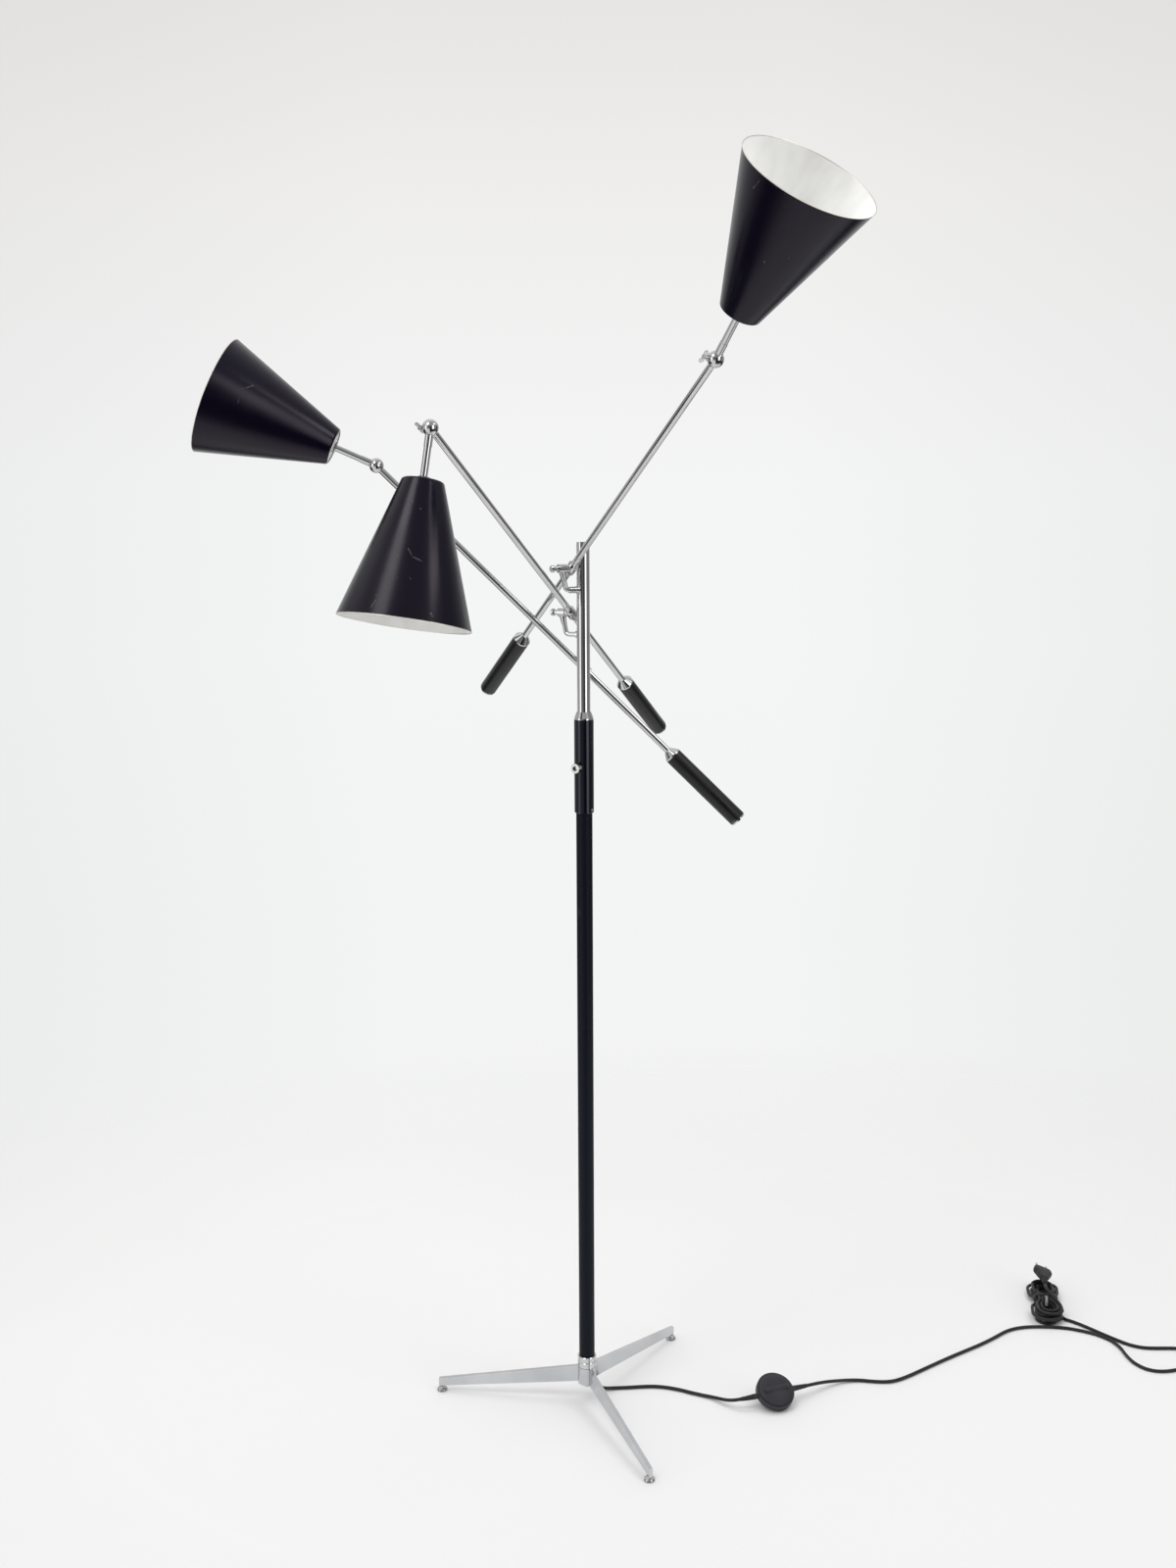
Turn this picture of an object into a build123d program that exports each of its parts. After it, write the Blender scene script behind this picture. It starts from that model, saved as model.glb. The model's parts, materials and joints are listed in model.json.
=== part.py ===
from build123d import *
import os
from math import cos, pi, radians, sin, tan

# Floor lamp: three counterbalanced arms on an upper tube that slides and swivels in a post.
# Millimetres and degrees. The origin is on the floor on the post's axis, +Z is up, +X is to the
# right of the picture and +Y goes away from the viewer. The pose is the one in the picture.

# Clearances
running_gap = 0.05
face_gap = 0.3

# Hub, legs and feet
hub_diameter = 30.0
hub_bottom = 31.0
hub_top = 60.5
hub_bore = 12.0
hub_edge = 1.0
collar_ring_height = 9.7
collar_ring_edge = 0.8
leg_azimuths = {"left": 172.7, "front": 292.7, "rear": 52.7}
leg_thickness = 6.0
leg_slot_depth = 3.0
leg_root_bottom = 33.0
leg_root_top = 60.0
leg_tip_bottom = 8.5
leg_tip_top = 21.5
leg_beyond_foot = 5.0
foot_circle_radius = 241.0
foot_diameter = 17.4
foot_contact_diameter = 13.0
foot_edge_height = 2.4
foot_pad_height = 5.8
foot_shoulder_inset = 1.2
foot_shoulder_drop = 1.4
foot_neck_diameter = 9.0
foot_stud_diameter = 6.0
foot_stud_in_leg = 9.0

# Post, sleeve and the collar that guides the upper tube
post_diameter = 25.0
post_wall = 2.0
sleeve_diameter = 30.0
sleeve_top = 1119.5
sleeve_length = 143.0
sleeve_edge = 0.8
spigot_length = 25.0
spigot_end_gap = 1.0
cone_straight = 2.0
cone_height = 11.7
cone_low_diameter = 29.4
cone_top_diameter = 22.0
tube_diameter = 20.0
tube_wall = 1.5
tube_length = 645.0
tube_above_sleeve = 265.5
sleeve_screw_below_top = 71.5
sleeve_screw_azimuth = -118.7
sleeve_screw_diameter = 5.0
sleeve_screw_neck_diameter = 8.0
sleeve_screw_neck_length = 3.6
sleeve_knob_diameter = 15.0
sleeve_knob_length = 9.5
sleeve_knob_recess_diameter = 8.5
sleeve_knob_recess_depth = 5.0
knob_edge = 0.8
set_screw_above_bottom = 5.0
set_screw_azimuth = -38.5
set_screw_diameter = 4.2
set_screw_stands_out = 1.2

# Each arm as it stands in the picture. The azimuth and elevation are those of its ball end, the
# pivot is measured down from the upper tube's top, the reach is from the pivot to the ball, the
# roll turns the knuckle about the arm, the tilt bends the shade at the knuckle, and the upright
# of the bracket goes up (1) or down (-1) from its stub.
arms = {
    "a": dict(azimuth=-56.7, elevation=38.7, pivot_below_top=38.0, reach=441.0,
              roll=12.4, tilt=12.1, upright=1, rings=3),
    "b": dict(azimuth=-122.0, elevation=37.6, pivot_below_top=105.5, reach=427.0,
              roll=1.8, tilt=-115.2, upright=1, rings=0),
    "c": dict(azimuth=-185.45, elevation=44.3, pivot_below_top=192.0, reach=438.0,
              roll=-16.8, tilt=-21.4, upright=-1, rings=0),
}

# Brackets, measured outwards from the post's axis
arm_offset = 21.0
stub_diameter = 7.5
stub_inside_tube = 1.0
saddle_diameter = 11.0
saddle_thickness = 2.5
ring_diameter = 10.0
ring_width = 1.8
ring_pitch = 3.2
upright_foot = 30.2
upright_lean = 7.6
upright_rise = 32.0
elbow_radius = 6.5
upright_head_across = 9.5
upright_head_depth = 12.2
boss_diameter = 13.0
boss_start = 31.0
boss_length = 13.0
pivot_screw_diameter = 5.0
pivot_neck_diameter = 6.8
pivot_neck_length = 6.0
pivot_ring_diameter = 8.4
pivot_knob_diameter = 11.0
pivot_knob_length = 6.5
pivot_collar_diameter = 16.0
pivot_collar_length = 15.0
collar_boss_diameter = 11.0

# Arms and counterweights
arm_diameter = 10.2
arm_wall = 1.0
arm_length = 626.0
arm_in_weight = 20.0
weight_diameter = 26.5
weight_length = 138.0
weight_edge = 0.6
cap_length = 12.0
cap_rim = 2.0
cap_tip_diameter = 12.0
end_disc_diameter = 25.5
end_disc_thickness = 2.0
end_head_diameter = 8.0
end_head_height = 2.6
end_head_edge = 1.0
end_screw_diameter = 5.0
end_screw_length = 15.0

# Knuckles and stems
ball_diameter = 22.3
knuckle_neck_length = 3.0
knuckle_spigot_length = 10.0
wing_screw_diameter = 4.0
wing_screw_in_far_half = 8.5
wing_washer_diameter = 8.4
wing_washer_thickness = 1.2
wing_hub_diameter = 6.4
wing_hub_length = 6.2
wing_blade_half_length = 4.2
wing_blade_half_height = 3.2
wing_blade_thickness = 1.8
wing_blade_centre = 6.2
wing_blade_slope = 25.0
stem_diameter = 10.0
stem_length = 68.6
ferrule_diameter = 11.0
ferrule_length = 14.0
hexagon_across_corners = 17.0
hexagon_thickness = 5.0
stem_thread_in_holder = 7.0

# Shades and lamp holders
shade_length = 188.5
shade_small_diameter = 55.0
shade_mouth_diameter = 178.0
shade_wall = 1.0
shade_lip_diameter = 46.0
shade_shoulder = 3.0
disc_thickness = 1.6
disc_gap = 0.4
holder_neck_diameter = 20.0
holder_neck_length = 5.0
holder_diameter = 36.0
holder_taper = 4.0
holder_length = 50.0
socket_diameter = 26.4
socket_depth = 30.0

# Cord, gland and foot switch
cord_diameter = 5.5
gland_flange_diameter = 16.0
gland_flange_thickness = 4.0
gland_length = 12.0
gland_bore = 4.5
switch_place = (303.9, -16.5)
switch_azimuth = 20.0
switch_tilt = 30.0
switch_diameter = 62.0
switch_sole_diameter = 56.0
switch_below_cord = 7.0
switch_bevel_height = 4.0
switch_rim_width = 2.7
switch_rim_height = 7.0
switch_floor_depth = 3.0
switch_cord_entry = 37.0
switch_entry_diameter = 9.0
button_travel = 3.0
button_spare = 0.5
button_edge_height = 1.4
button_dome_height = 5.5
ridge_length = 44.0
ridge_diameter = 8.0
ridge_proud = 2.5

# The tied hank, measured from its waist along and across its own axis
hank_waist = (831.0, 296.0)
hank_azimuth = 80.0
hank_lobe = 41.0
hank_first_offset = 12.0
hank_half_step = 3.3
hank_draw_in = 8.5
hank_layer_height = 6.0
hank_runs = 15
hank_tail_along = 14.0

# Plug
plug_relief_length = 20.0
plug_relief_tip_diameter = 8.0
plug_relief_base_diameter = 11.0
plug_widest_at = 24.0
plug_body_length = 36.0
plug_back_width = 15.0
plug_width = 34.0
plug_face_width = 31.0
plug_thickness = 13.7
plug_back_thickness = 11.0
plug_corner = 4.0
plug_pin_diameter = 4.0
plug_pin_length = 19.0
plug_pin_spacing = 18.5
plug_roll = 20.0
plug_rest_gap = 0.5

# Sizes that follow from the ones above
hub_radius = hub_diameter / 2
foot_neck_top = leg_tip_bottom - face_gap
collar_top = hub_top + 2 * collar_ring_height
post_inside = post_diameter - 2 * post_wall
sleeve_bottom = sleeve_top - sleeve_length
sleeve_screw_height = sleeve_top - sleeve_screw_below_top
set_screw_height = sleeve_bottom + set_screw_above_bottom
post_top = sleeve_top - spigot_length - spigot_end_gap
tube_top = sleeve_top + tube_above_sleeve
tube_bottom = tube_top - tube_length
tube_inside = tube_diameter - 2 * tube_wall
ball_radius = ball_diameter / 2
boss_end = boss_start + boss_length
cord_radius = cord_diameter / 2
disc_diameter = shade_small_diameter - 2 * (shade_shoulder - disc_gap / 2)
floor_height = cord_radius + 0.05
switch_height = switch_sole_diameter / 2 * sin(radians(switch_tilt)) + switch_below_cord * cos(radians(switch_tilt))
on_base = (Align.CENTER, Align.CENTER, Align.MIN)


def rod(start, end, diameter):
    """A round bar along X."""
    return Pos(start, 0, 0) * Rot(0, 90, 0) * Cylinder(diameter / 2, end - start, align=on_base)


def cross_rod(start, end, diameter):
    """A round bar along Y."""
    return Pos(0, start, 0) * Rot(-90, 0, 0) * Cylinder(diameter / 2, end - start, align=on_base)


def column(bottom, top, diameter):
    """A round bar along Z."""
    return Pos(0, 0, bottom) * Cylinder(diameter / 2, top - bottom, align=on_base)


def turned(outline):
    """A turned piece: an outline of (radius, height) points spun about Z."""
    points = [(radius, 0, height) for radius, height in outline]
    return revolve(make_face(Polyline(*points, close=True)), Axis.Z)


def turned_along_x(outline):
    """A turned piece whose outline is (radius, distance along X)."""
    return Rot(0, 90, 0) * turned(outline)


def save(shape, name):
    """Write one piece to its own file."""
    shape.label = name
    export_step(shape, f"parts/{name}.step")
    print(f"{name} {shape.volume / 1000:.1f} cm3")


# Base: hub with slots, two stacked rings, three flat legs and three screw-in feet
def make_hub():
    hub = column(hub_bottom, hub_top, hub_diameter)
    hub = chamfer(hub.edges().sort_by(Axis.Z)[0], hub_edge)
    hub -= column(hub_bottom, hub_top, hub_bore)
    slot_size = (leg_slot_depth + hub_radius, leg_thickness, leg_root_top - leg_root_bottom)
    slot = Box(*slot_size, align=(Align.MIN, Align.CENTER, Align.MIN))
    slot = Pos(hub_radius - leg_slot_depth, 0, leg_root_bottom) * slot
    for azimuth in leg_azimuths.values():
        hub -= Rot(0, 0, azimuth) * slot
    return hub


def make_hub_collar():
    bore = post_diameter / 2
    edge = hub_radius - collar_ring_edge
    outline = [(bore, hub_top)]
    for ring in range(2):
        low = hub_top + ring * collar_ring_height
        high = low + collar_ring_height
        outline += [(edge, low), (hub_radius, low + collar_ring_edge), (hub_radius, high - collar_ring_edge)]
    outline += [(edge, collar_top), (bore, collar_top)]
    return turned(outline)


def make_leg():
    root = hub_radius - leg_slot_depth
    tip = foot_circle_radius + leg_beyond_foot
    outline = Polyline(
        (root, 0, leg_root_bottom),
        (hub_radius, 0, leg_root_bottom),
        (tip, 0, leg_tip_bottom),
        (tip, 0, leg_tip_top),
        (hub_radius, 0, leg_root_top),
        (root, 0, leg_root_top),
        close=True,
    )
    leg = extrude(make_face(outline), leg_thickness / 2, dir=(0, 1, 0), both=True)
    stud_top = leg_tip_bottom + foot_stud_in_leg
    hole = column(0, stud_top + face_gap, foot_stud_diameter)
    return leg - Pos(foot_circle_radius, 0, 0) * hole


def make_foot():
    stud_radius = foot_stud_diameter / 2 - running_gap
    outline = [
        (0, 0),
        (foot_contact_diameter / 2, 0),
        (foot_diameter / 2, foot_edge_height),
        (foot_diameter / 2 - foot_shoulder_inset, foot_pad_height - foot_shoulder_drop),
        (foot_neck_diameter / 2, foot_pad_height),
        (foot_neck_diameter / 2, foot_neck_top),
        (stud_radius, foot_neck_top),
        (stud_radius, leg_tip_bottom + foot_stud_in_leg),
        (0, leg_tip_bottom + foot_stud_in_leg),
    ]
    return turned(outline)


os.makedirs("parts", exist_ok=True)
save(make_hub(), "hub")
save(make_hub_collar(), "hub_collar")
for side, azimuth in leg_azimuths.items():
    save(Rot(0, 0, azimuth) * make_leg(), f"leg_{side}")
    save(Rot(0, 0, azimuth) * Pos(foot_circle_radius, 0, 0) * make_foot(), f"foot_{side}")


# Post, clamping sleeve with its two screws, guide collar and upper tube
screw_turn = Pos(0, 0, sleeve_screw_height) * Rot(0, 0, sleeve_screw_azimuth)
set_turn = Pos(0, 0, set_screw_height) * Rot(0, 0, set_screw_azimuth)
screw_hole = screw_turn * rod(0, sleeve_diameter, sleeve_screw_diameter + 2 * running_gap)

lower_post = column(hub_top, post_top, post_diameter)
lower_post -= column(hub_top, post_top, post_inside)
lower_post -= screw_hole
save(lower_post, "lower_post")

sleeve = column(sleeve_bottom, sleeve_top, sleeve_diameter)
sleeve = chamfer(sleeve.edges().filter_by(GeomType.CIRCLE), sleeve_edge)
sleeve -= column(sleeve_bottom, sleeve_top, post_diameter)
sleeve -= screw_hole
sleeve -= set_turn * rod(0, sleeve_diameter, set_screw_diameter)
save(sleeve, "sleeve")

set_screw = rod(0, sleeve_diameter / 2 + set_screw_stands_out, set_screw_diameter)
set_screw -= column(-sleeve_diameter, sleeve_diameter, post_diameter)
save(set_turn * set_screw, "sleeve_set_screw")


def make_sleeve_screw():
    shank = sleeve_screw_diameter / 2
    neck = sleeve_screw_neck_diameter / 2
    knob = sleeve_knob_diameter / 2
    recess = sleeve_knob_recess_diameter / 2
    tip = tube_diameter / 2 + face_gap
    seat = sleeve_diameter / 2 + face_gap
    knob_start = seat + sleeve_screw_neck_length
    knob_end = knob_start + sleeve_knob_length
    outline = [
        (0, tip),
        (shank, tip),
        (shank, seat),
        (neck, seat),
        (neck, knob_start),
        (knob - knob_edge, knob_start),
        (knob, knob_start + knob_edge),
        (knob, knob_end - knob_edge),
        (knob - knob_edge, knob_end),
        (recess, knob_end),
        (recess, knob_end - sleeve_knob_recess_depth),
        (0, knob_end - sleeve_knob_recess_depth),
    ]
    return turned_along_x(outline)


save(screw_turn * make_sleeve_screw(), "sleeve_screw")

guide_bore = tube_diameter / 2 + running_gap
spigot_radius = post_diameter / 2 - running_gap
cone_seat = sleeve_top + face_gap
guide_outline = [
    (guide_bore, sleeve_top - spigot_length),
    (spigot_radius, sleeve_top - spigot_length),
    (spigot_radius, cone_seat),
    (cone_low_diameter / 2, cone_seat),
    (cone_low_diameter / 2, cone_seat + cone_straight),
    (cone_top_diameter / 2, cone_seat + cone_height),
    (guide_bore, cone_seat + cone_height),
]
save(turned(guide_outline), "guide_collar")


def pivot_height(arm):
    return tube_top - arm["pivot_below_top"]


def bracket_place(arm):
    """The bracket's own frame: X outwards along its stub, Z along its upright."""
    stub_height = pivot_height(arm) - arm["upright"] * upright_rise
    flip = 0 if arm["upright"] > 0 else 180
    return Pos(0, 0, stub_height) * Rot(0, 0, arm["azimuth"] - 90) * Rot(flip, 0, 0)


upper_tube = column(tube_bottom, tube_top, tube_diameter)
upper_tube -= column(tube_bottom, tube_top, tube_inside)
for arm in arms.values():
    upper_tube -= bracket_place(arm) * rod(0, tube_diameter, stub_diameter)
save(upper_tube, "upper_tube")


# Brackets and their thumb screws
def make_bracket(rings):
    stub_start = tube_inside / 2 - stub_inside_tube
    head = (upright_foot + upright_lean, 0, upright_rise)
    path = FilletPolyline((stub_start, 0, 0), (upright_foot, 0, 0), head, radius=elbow_radius)
    bracket = sweep(Plane((stub_start, 0, 0), z_dir=(1, 0, 0)) * Circle(stub_diameter / 2), path=path)
    lean = Vector(upright_lean, 0, upright_rise).normalized()
    low = Vector(upright_foot, 0, 0) + lean * elbow_radius * 2
    low_section = Plane(low, x_dir=(0, 1, 0), z_dir=lean) * Circle(stub_diameter / 2)
    head_shape = Ellipse(upright_head_across / 2, upright_head_depth / 2)
    head_section = Plane(head, x_dir=(0, 1, 0), z_dir=lean) * head_shape
    bracket += loft([low_section, head_section])
    bracket += Pos(0, 0, upright_rise) * rod(boss_start, boss_end, boss_diameter)
    bracket -= Pos(0, 0, upright_rise) * rod(0, 2 * boss_end, pivot_screw_diameter + 2 * running_gap)
    saddle_end = tube_diameter / 2 + saddle_thickness
    saddle = rod(0, saddle_end, saddle_diameter)
    saddle -= column(-tube_diameter, tube_diameter, tube_diameter)
    bracket += saddle
    for ring in range(rings):
        ring_start = saddle_end + ring_pitch * (ring + 1)
        bracket += rod(ring_start, ring_start + ring_width, ring_diameter)
    return bracket


def make_pivot_screw():
    shank = pivot_screw_diameter / 2
    neck = pivot_neck_diameter / 2
    knob = pivot_knob_diameter / 2
    tip = arm_offset + arm_diameter / 2 + face_gap
    seat = boss_end + face_gap
    knob_start = seat + pivot_neck_length
    knob_end = knob_start + pivot_knob_length
    outline = [
        (0, tip),
        (shank, tip),
        (shank, seat),
        (pivot_ring_diameter / 2, seat),
        (pivot_ring_diameter / 2, seat + pivot_neck_length / 3),
        (neck, seat + pivot_neck_length / 3),
        (neck, knob_start),
        (knob - 2 * knob_edge, knob_start),
        (knob, knob_start + 2 * knob_edge),
        (knob, knob_end - 2 * knob_edge),
        (knob - 2 * knob_edge, knob_end),
        (0, knob_end),
    ]
    return Pos(0, 0, upright_rise) * turned_along_x(outline)


# Arm pieces, in a frame at the pivot: X along the arm to the ball, -Y towards the bracket
def make_pivot_collar():
    half = pivot_collar_length / 2
    boss_face = boss_start - face_gap - arm_offset
    collar = rod(-half, half, pivot_collar_diameter)
    collar += cross_rod(-boss_face, 0, collar_boss_diameter)
    collar -= rod(-half, half, arm_diameter)
    collar -= cross_rod(-boss_face, 0, pivot_screw_diameter + 2 * running_gap)
    return collar


def make_arm_tube(reach):
    tail = reach - arm_length - arm_in_weight
    head = reach - ball_radius - knuckle_neck_length
    return rod(tail, head, arm_diameter) - rod(tail, head, arm_diameter - 2 * arm_wall)


def make_weight_cap(reach):
    base = reach - arm_length
    outline = [
        (arm_diameter / 2, base),
        (weight_diameter / 2, base),
        (weight_diameter / 2, base + cap_rim),
        (cap_tip_diameter / 2, base + cap_length),
        (arm_diameter / 2, base + cap_length),
    ]
    return turned_along_x(outline)


def make_counterweight(reach):
    start = reach - arm_length
    end = start - weight_length
    weight = rod(end, start, weight_diameter)
    weight = chamfer(weight.edges().filter_by(GeomType.CIRCLE), weight_edge)
    weight -= rod(start - arm_in_weight, start, arm_diameter)
    weight -= rod(end, end + end_screw_length, end_screw_diameter)
    return weight


def make_weight_end(reach):
    face = reach - arm_length - weight_length
    out = face - end_disc_thickness
    outline = [
        (0, face + end_screw_length),
        (end_screw_diameter / 2, face + end_screw_length),
        (end_screw_diameter / 2, face),
        (end_disc_diameter / 2, face),
        (end_disc_diameter / 2, out),
        (end_head_diameter / 2, out),
        (end_head_diameter / 2 - end_head_edge, out - end_head_height * 0.7),
        (end_head_diameter / 4, out - end_head_height),
        (0, out - end_head_height),
    ]
    return turned_along_x(outline)


# Knuckle, in a frame at the ball: X along the arm or the stem, -Y towards the wing screw
def half_space(side, edge):
    """A large block from the given Y to the far end of one side (1 for +Y, -1 for -Y)."""
    align = Align.MIN if side > 0 else Align.MAX
    return Pos(0, edge, 0) * Box(4 * ball_diameter, 4 * ball_diameter, 4 * ball_diameter,
                                 align=(Align.CENTER, align, Align.CENTER))


def half_ball(side, neck):
    """Half a ball on one side with a neck that leaves room for the other half to turn."""
    split = side * face_gap / 2
    room = Sphere(ball_radius + face_gap) & half_space(-side, split)
    half = Sphere(ball_radius) & half_space(side, split)
    half += neck - room
    return half - cross_rod(-ball_diameter, ball_diameter, wing_screw_diameter + 2 * running_gap)


def make_knuckle():
    neck_end = -ball_radius - knuckle_neck_length
    neck = rod(neck_end, 0, arm_diameter)
    half = half_ball(1, neck)
    return half + rod(neck_end - knuckle_spigot_length, neck_end, arm_diameter - 2 * arm_wall)


def make_stem():
    ferrule_end = ball_radius + ferrule_length
    plate_face = stem_length + shade_wall
    stem = half_ball(-1, rod(0, ferrule_end, ferrule_diameter))
    stem += rod(ferrule_end, plate_face + disc_thickness + stem_thread_in_holder, stem_diameter)
    hexagon = extrude(RegularPolygon(hexagon_across_corners / 2, 6), hexagon_thickness)
    return stem + Pos(plate_face - hexagon_thickness, 0, 0) * Rot(0, 90, 0) * hexagon


def make_wing_screw():
    shank = wing_screw_diameter / 2
    seat = ball_radius + face_gap
    hub_start = seat + wing_washer_thickness
    hub_end = hub_start + wing_hub_length
    outline = [
        (0, -wing_screw_in_far_half),
        (shank, -wing_screw_in_far_half),
        (shank, seat),
        (wing_washer_diameter / 2, seat),
        (wing_washer_diameter / 2, hub_start),
        (wing_hub_diameter / 2, hub_start),
        (wing_hub_diameter / 2, hub_end),
        (0, hub_end),
    ]
    screw = turned(outline)
    blade = extrude(Plane.XZ * Ellipse(wing_blade_half_length, wing_blade_half_height),
                    wing_blade_thickness / 2, both=True)
    for side in (1, -1):
        place = Pos(side * wing_blade_centre, 0, (hub_start + hub_end) / 2 + wing_hub_length / 4)
        screw += place * Rot(0, -side * wing_blade_slope, 0) * blade
    return Rot(90, 0, 0) * screw


# Shade and what is inside it, in the stem's frame
def make_shade():
    start = stem_length
    end = stem_length + shade_length
    small = shade_small_diameter / 2
    mouth = shade_mouth_diameter / 2
    lip = shade_lip_diameter / 2
    slope = (mouth - small) / shade_length
    shoulder_end = small + slope * shade_shoulder
    inside_corner = small - shade_shoulder + disc_gap
    outer = Polyline((lip, 0, start), (small - shade_shoulder, 0, start))
    shoulder_middle = (small - shade_shoulder * 0.2, 0, start + shade_shoulder * 0.25)
    shoulder = ThreePointArc(outer @ 1, shoulder_middle, (shoulder_end, 0, start + shade_shoulder))
    rest = Polyline(
        (shoulder_end, 0, start + shade_shoulder),
        (mouth, 0, end),
        (mouth - shade_wall, 0, end),
        (shoulder_end - shade_wall * 1.1, 0, start + shade_shoulder + shade_wall * 0.2),
        (inside_corner, 0, start + shade_wall),
        (lip, 0, start + shade_wall),
        (lip, 0, start),
    )
    return Rot(0, 90, 0) * revolve(make_face([outer, shoulder, rest]), Axis.Z)


def make_shade_disc():
    face = stem_length + shade_wall
    return rod(face, face + disc_thickness, disc_diameter) - rod(face, face + disc_thickness, stem_diameter)


def make_lamp_holder():
    back = stem_length + shade_wall + disc_thickness
    shoulder = back + holder_neck_length
    mouth = back + holder_length
    outline = [
        (stem_diameter / 2, back),
        (holder_neck_diameter / 2, back),
        (holder_neck_diameter / 2, shoulder),
        (holder_diameter / 2, shoulder + holder_taper),
        (holder_diameter / 2, mouth),
        (socket_diameter / 2, mouth),
        (socket_diameter / 2, mouth - socket_depth),
        (0, mouth - socket_depth),
        (0, back + stem_thread_in_holder),
        (stem_diameter / 2, back + stem_thread_in_holder),
    ]
    return turned_along_x(outline)


for name, arm in arms.items():
    reach = arm["reach"]
    bracket = bracket_place(arm)
    pivot = Rot(0, 0, arm["azimuth"]) * Pos(0, -arm_offset, pivot_height(arm))
    along_arm = pivot * Rot(0, -arm["elevation"], 0)
    knuckle = along_arm * Pos(reach, 0, 0) * Rot(-arm["roll"], 0, 0)
    along_stem = knuckle * Rot(0, -arm["tilt"], 0)
    save(bracket * make_bracket(arm["rings"]), f"bracket_{name}")
    save(bracket * make_pivot_screw(), f"pivot_screw_{name}")
    save(along_arm * make_pivot_collar(), f"pivot_collar_{name}")
    save(along_arm * make_arm_tube(reach), f"arm_tube_{name}")
    save(along_arm * make_weight_cap(reach), f"weight_cap_{name}")
    save(along_arm * make_counterweight(reach), f"counterweight_{name}")
    save(along_arm * make_weight_end(reach), f"weight_end_{name}")
    save(knuckle * make_knuckle(), f"knuckle_{name}")
    save(knuckle * make_wing_screw(), f"wing_screw_{name}")
    save(along_stem * make_stem(), f"stem_{name}")
    save(along_stem * make_shade(), f"shade_{name}")
    save(along_stem * make_shade_disc(), f"shade_disc_{name}")
    save(along_stem * make_lamp_holder(), f"lamp_holder_{name}")


# Cord gland under the hub and the foot switch, which lies tipped over on the floor
gland_bottom = hub_bottom - gland_flange_thickness
gland = column(hub_bottom, hub_bottom + gland_length, hub_bore)
gland += column(gland_bottom, hub_bottom, gland_flange_diameter)
gland -= column(gland_bottom, hub_bottom + gland_length, gland_bore)
save(gland, "cord_gland")


def make_switch_base():
    rim = switch_diameter / 2
    well = rim - switch_rim_width
    outline = [
        (0, -switch_below_cord),
        (switch_sole_diameter / 2, -switch_below_cord),
        (rim, -switch_below_cord + switch_bevel_height),
        (rim, switch_rim_height),
        (well, switch_rim_height),
        (well, -switch_floor_depth),
        (0, -switch_floor_depth),
    ]
    entries = rod(-switch_cord_entry, -well, switch_entry_diameter)
    entries += rod(well, switch_cord_entry, switch_entry_diameter)
    return turned(outline) + (entries - column(-switch_diameter, switch_diameter, 2 * well))


def make_switch_button():
    radius = switch_diameter / 2 - switch_rim_width - face_gap
    under = -switch_floor_depth + button_travel + button_spare
    edge = switch_rim_height + button_edge_height
    top = edge + button_dome_height
    sides = Polyline((0, 0, top), (0, 0, under), (radius, 0, under), (radius, 0, edge))
    dome = ThreePointArc((radius, 0, edge), (radius * 0.6, 0, edge + button_dome_height * 0.7), (0, 0, top))
    button = revolve(make_face([sides, dome]), Axis.Z)
    half = ridge_length / 2 - ridge_diameter / 2
    ridge_height = top + ridge_proud - ridge_diameter / 2
    ridge = rod(-half, half, ridge_diameter)
    for side in (1, -1):
        ridge += Pos(side * half, 0, 0) * Sphere(ridge_diameter / 2)
    return button + Pos(0, 0, ridge_height) * ridge


switch_turn = Rot(0, 0, switch_azimuth)
switch_middle = Pos(*switch_place, switch_height) * switch_turn * Rot(switch_tilt, 0, 0)
save(switch_middle * make_switch_base(), "switch_base")
save(switch_middle * make_switch_button(), "switch_button")
switch_left = (switch_middle * Pos(-switch_cord_entry, 0, 0)).position
switch_right = (switch_middle * Pos(switch_cord_entry, 0, 0)).position
switch_axis = Vector(1, 0, 0).rotate(Axis.Z, switch_azimuth)


def make_cord(points, name):
    """A round cord on straight runs joined by wide arcs, checked against section times length."""
    corners = [Vector(*point) for point in points]
    radii = []
    for before, corner, after in zip(corners, corners[1:], corners[2:]):
        arrive = corner - before
        leave = after - corner
        half_turn = radians(arrive.get_angle(leave)) / 2
        radii.append(0.45 * min(arrive.length, leave.length) / tan(half_turn))
    path = FilletPolyline(*corners, radius=radii)
    start = Plane(corners[0], z_dir=corners[1] - corners[0])
    tube = sweep(start * Circle(cord_radius), path=path)
    expected = pi * cord_radius ** 2 * path.length
    print(f"{name} length {path.length:.0f} tightest {min(radii):.1f} volume ratio {tube.volume / expected:.4f}")
    return tube


# Cord from the gland to the switch
entry_run = 19.0
near_points = [
    (0, 0, gland_bottom),
    (0, 0, 15),
    (6, 6, 7),
    (20, 19, floor_height + 0.3),
    (42, 28, floor_height),
    (66, 29.5, floor_height),
    (92, 32.5, floor_height),
    (117, 33, floor_height),
    (147, 25, floor_height),
    (177, 10, floor_height),
    (205, -2, floor_height + 0.8),
    (229, -24, 10),
    switch_left - switch_axis * entry_run,
    switch_left,
]
save(make_cord(near_points, "cord_near"), "cord_near")


# The hank: one unbroken cord wound in layers, alternately spiralling in and out
hank_along = Vector(1, 0, 0).rotate(Axis.Z, hank_azimuth)
hank_across = Vector(0, -1, 0).rotate(Axis.Z, hank_azimuth)
offset_pattern = (3, 2, 1, 0, 1, 2, 3, 4)


def hank_point(along, across, height):
    return Vector(*hank_waist, height) + hank_along * along + hank_across * across


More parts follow.
